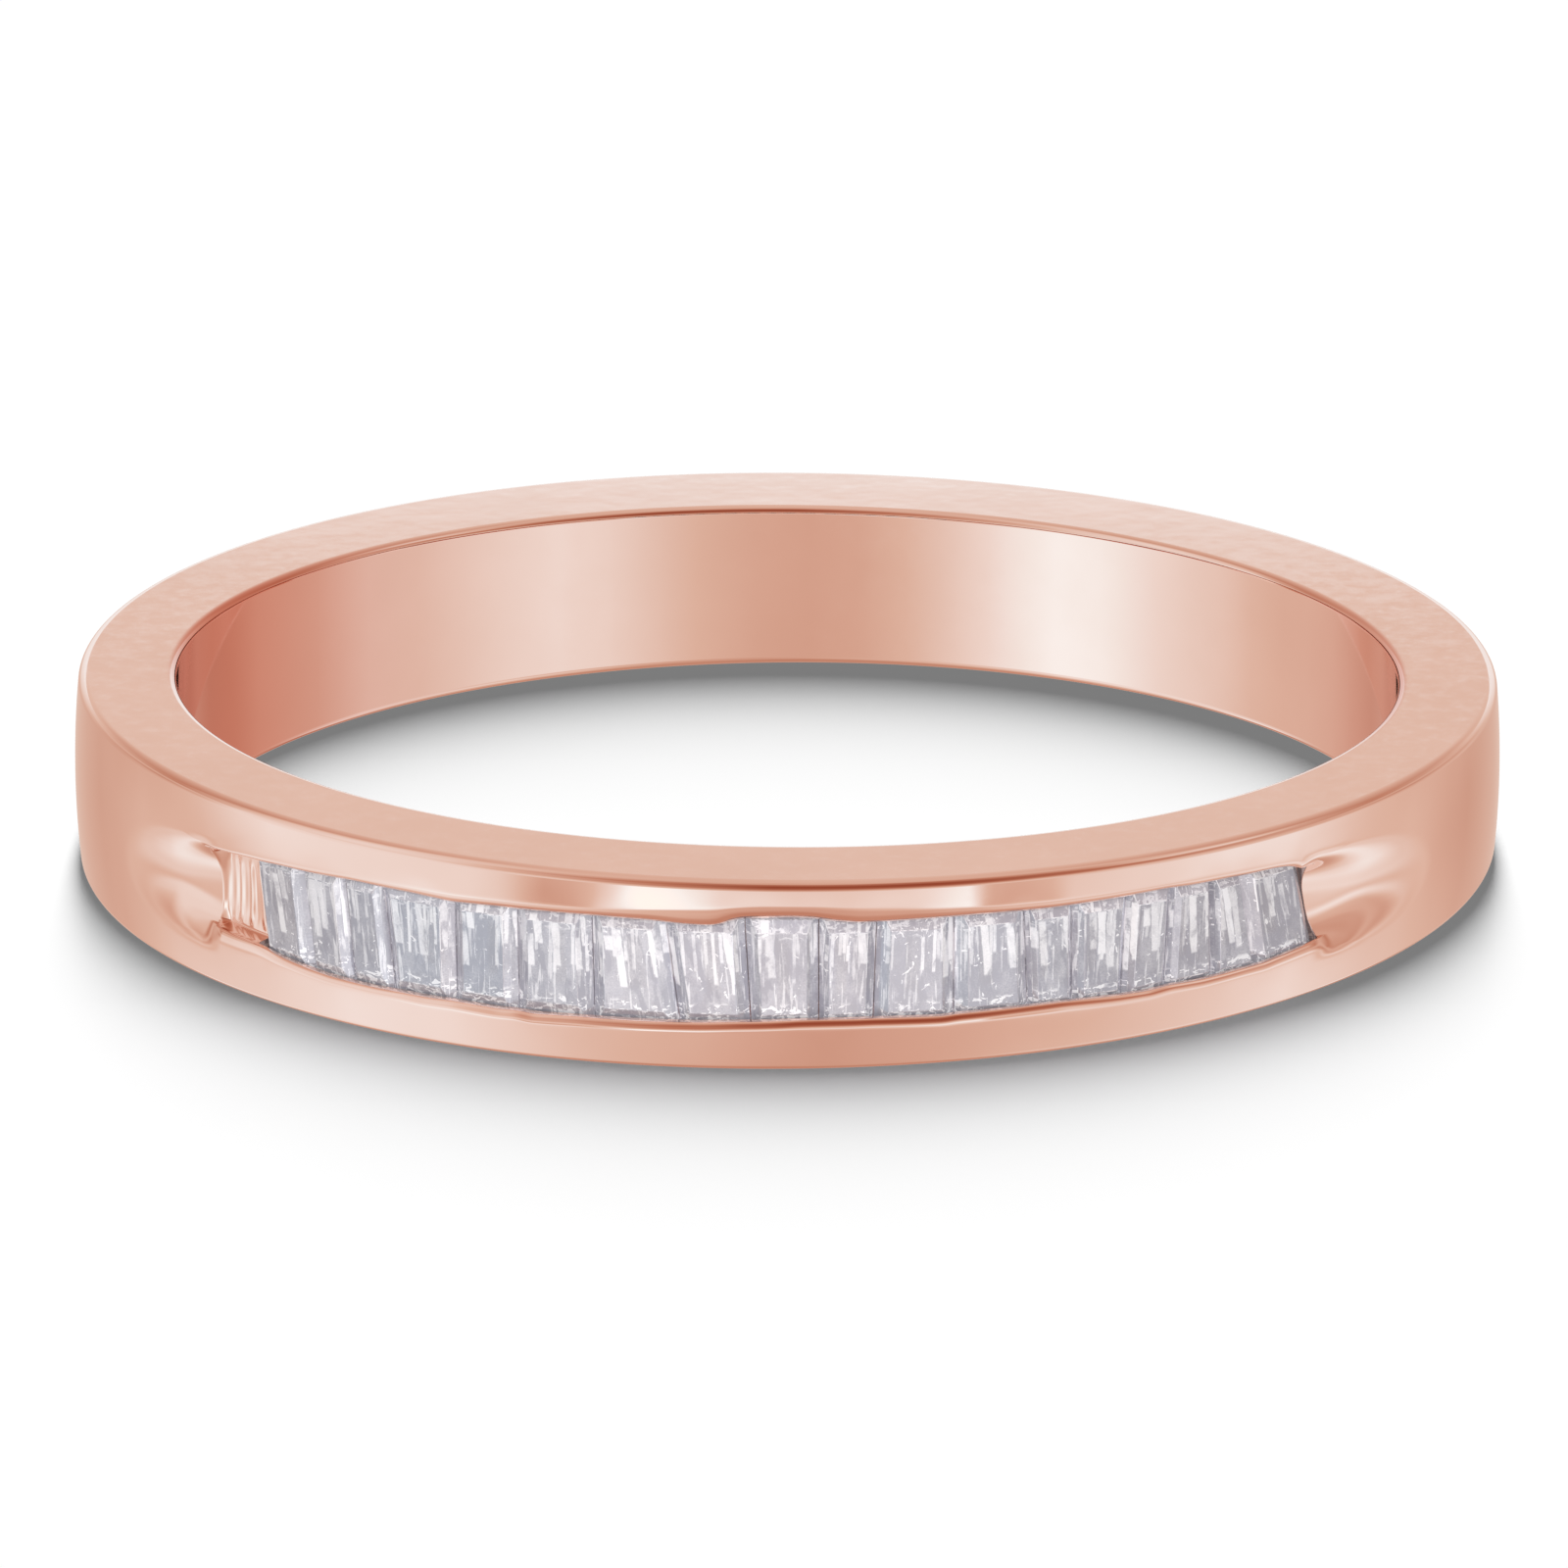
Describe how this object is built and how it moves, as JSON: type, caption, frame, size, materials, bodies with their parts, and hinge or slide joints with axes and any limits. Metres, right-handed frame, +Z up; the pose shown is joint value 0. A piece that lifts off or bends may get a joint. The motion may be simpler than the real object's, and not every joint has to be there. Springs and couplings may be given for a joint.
{
  "type": "channel-set wedding band",
  "caption": "Rose-gold wedding band with straight baguette-cut stones channel-set across the front, planar sides, a domed outer wall and a scooped run-out past each end of the channel.",
  "frame": {"origin": "centre of the finger bore, at the band's mid width", "axes": "+Z along the finger axis; the stone-set front faces -Y and the plain back faces +Y; +X is to the right when the front is seen with +Z up"},
  "size_m": [0.0202, 0.0212, 0.0028],
  "materials": {
    "rose_gold": "high polish, rose gold",
    "baguette_stone": "polished facets, slightly cloudy clear stone"
  },
  "bodies": {
    "root": {"band": "rose_gold", "baguette_01": "baguette_stone", "baguette_02": "baguette_stone", "baguette_03": "baguette_stone", "baguette_04": "baguette_stone", "baguette_05": "baguette_stone", "baguette_06": "baguette_stone", "baguette_07": "baguette_stone", "baguette_08": "baguette_stone", "baguette_09": "baguette_stone", "baguette_10": "baguette_stone", "baguette_11": "baguette_stone", "baguette_12": "baguette_stone", "baguette_13": "baguette_stone", "baguette_14": "baguette_stone", "baguette_15": "baguette_stone", "baguette_16": "baguette_stone", "baguette_17": "baguette_stone", "baguette_18": "baguette_stone"}
  },
  "joints": []
}
